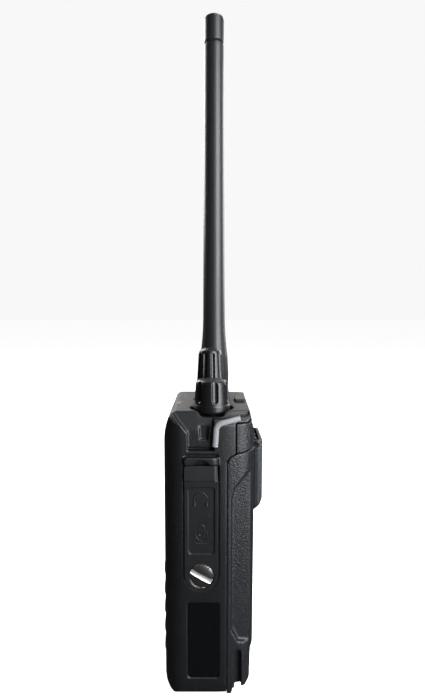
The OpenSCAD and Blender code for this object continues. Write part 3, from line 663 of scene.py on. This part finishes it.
def headphone_sign(x):
    """The raised headphone outline on the jack cover."""
    middle = (x, COVER_MIDDLE - 0.3, 89.9)
    radius = 2.9
    lines = [arc(middle, radius, -28, 208)]
    pads = [[(x, middle[1] + side * (radius - 0.35), z) for z in (87.0, 88.6)] for side in (-1, 1)]
    return [stroke("headphone_band", lines, 0.22), stroke("headphone_pads", pads, 0.5)]


def microphone_sign(x):
    """The raised microphone outline on the jack cover."""
    y = COVER_MIDDLE
    radius = 2.45
    holder = [(x, y + radius, 75.8)] + arc((x, y, 74.2), radius, 0, -180) + [(x, y - radius, 75.8)]
    lines = [holder, [(x, y, 71.7), (x, y, 70.2)], [(x, y - 2.5, 70.2), (x, y + 2.5, 70.2)]]
    capsule = [arc((x, y, 77.4), 1.15, 0, 180) + arc((x, y, 74.8), 1.15, 180, 360) + [(x, y + 1.15, 77.4)]]
    return [stroke("microphone_holder", lines, 0.2), stroke("microphone_capsule", capsule, 0.2)]


def add_jack_cover():
    """One rubber moulding: a bridge joins the screwed end to the flap at the living hinge."""
    nodes = ["jack_cover_flap", "jack_cover_tab"]
    hinge_z = TAB_HIGH[2] + 0.1
    gap = 0.3
    bridge = bpy.data.meshes.new("bridge")
    x0, x1 = TAB_LOW[0] + 0.5, TAB_HIGH[0] - 0.15
    y0, y1 = TAB_LOW[1] + 0.2, TAB_HIGH[1] - 0.2
    z0, z1 = hinge_z - gap, hinge_z + gap
    corners = [(MM * x, MM * y, MM * z) for x in (x0, x1) for y in (y0, y1) for z in (z0, z1)]
    faces = [(0, 1, 3, 2), (4, 6, 7, 5), (0, 4, 5, 1), (2, 3, 7, 6), (0, 2, 6, 4), (1, 5, 7, 3)]
    bridge.from_pydata(corners, [], faces)
    sources = [frame["nodes"][node].data for node in nodes] + [bridge]
    body = soft_mesh("jack_cover", sources, 0.14, 5, 190000, cover_shape)
    panel_x = HINGE_X - 0.5
    mesh = joined("jack_cover", [body] + headphone_sign(panel_x) + microphone_sign(panel_x))
    # The thick block takes the speckled material, whose lighter black is a painted highlight.
    block_faces = points_mm(mesh)[:, 2] > COVER_HIGH[2] - 6.7
    for face in mesh.polygons:
        face.material_index = 1 if block_faces[face.vertices[0]] else 0
    piece = place_piece("jack_cover", mesh, nodes, ["rubber", "speckled"])
    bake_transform(piece)


def add_lip():
    """The lip that turns round the corner beside the knob hollow, its pale grey a painted highlight."""
    x = 30.25
    foot = (2.6, 112.7)
    corner = (6.5, 119.6)
    bend_r = 3.5
    path = [(x, foot[0] + 0.45 * t, foot[1] + 6.9 * t) for t in np.linspace(0, 1, 12)]
    path += arc((x, *corner), bend_r, 178, 104)
    rise = 0.22
    step = 0.7
    radius = 1.25
    flatness = 0.65
    last = path[-1]
    path += [(x - 0.05 * k, last[1] + step * k, last[2] + step * rise * k) for k in range(1, 12)]
    mesh = stroke("hollow_lip", [path], radius)
    co = points_mm(mesh)
    co[:, 0] = x + (co[:, 0] - x) * flatness
    co = rounded_sides(co)
    set_points_mm(mesh, co)
    mesh.shade_smooth()
    piece = new_object("hollow_lip", mesh)
    # Its pale grey material is a painted highlight.
    mesh.materials.append(MATERIALS["lip"])
    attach(piece, "radio")


def legend(name, text, height, middle, y):
    """A printed sign on the front, read from -Y."""
    curve = bpy.data.curves.new(name, "FONT")
    curve.body = text
    curve.size = height * MM
    curve.extrude = 0.03 * MM
    curve.align_x = "CENTER"
    curve.align_y = "CENTER"
    work = new_object(name, curve)
    mesh = evaluated(work)
    bpy.data.objects.remove(work)
    co = points_mm(mesh)
    co -= (co.min(axis=0) + co.max(axis=0)) / 2
    set_points_mm(mesh, np.stack([co[:, 0] + middle[0], y - co[:, 2], co[:, 1] + middle[1]], axis=1))
    return mesh


def chevron(name, middle, y, direction, size):
    """A small arrow head that points along direction, in the XZ plane."""
    dx, dz = direction
    tip = (middle[0] + dx * size, y, middle[1] + dz * size)
    wings = [(middle[0] + side * dz * size, y, middle[1] + side * dx * size) for side in (-1, 1)]
    return stroke(name, [[wings[0], tip, wings[1]]], 0.16)


def key_signs(node, middle, y):
    """The meshes of one key's printed sign."""
    name = node + "_sign"
    if node == "key_up_down":
        return [chevron(name, (middle[0], middle[1] + s * 1.2), y, (0, s), 0.9) for s in (-1, 1)]
    if node == "key_back":
        return [chevron(name, middle, y, (-1, 0), 1.1)]
    if node == "key_menu":
        ends = [middle[0] - 1.3, middle[0] + 1.3]
        rows = [[(x, y, middle[1] + k) for x in ends] for k in (-0.9, 0, 0.9)]
        return [stroke(name, rows, 0.15)]
    text = {"star": "*", "hash": "#"}.get(node[4:], node[4:])
    return [legend(name, text, 4.2, middle, y)]


def add_keys():
    """Each key with its crown and its printed sign, as one piece."""
    for node in [n for n in BODY_OF if n.startswith("key_")]:
        low, high = box_mm(node)
        body = soft_mesh(node, [frame["nodes"][node].data], 0.16, 4, 24000, crowned_keys(node))
        middle = ((low[0] + high[0]) / 2, (low[2] + high[2]) / 2)
        signs = key_signs(node, middle, low[1] + 0.04)
        for sign in signs:
            sign.polygons.foreach_set("material_index", [1] * len(sign.polygons))
        mesh = joined(node + "_soft", [body] + signs)
        piece = place_piece(node + "_soft", mesh, [node], ["rubber", "print"])
        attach(piece, BODY_OF[node])


def dress_the_rest():
    """Gives each CAD node that still shows its own material."""
    special = {"speaker_mesh": "mesh", "side_label_plate": "plate", "clip_spring": "dark_steel",
               "clip_pin": "dark_steel", "clip_screws": "dark_steel", "chassis_screws": "dark_steel"}
    for node, obj in frame["nodes"].items():
        obj.data.materials.clear()
        obj.data.materials.append(MATERIALS[special.get(node, SLOT_MATERIAL[SLOT_OF[node]])])


add_camera()
dress_the_rest()
add_shells()
add_controls()
add_jack_cover()
add_lip()
add_keys()
add_studio()
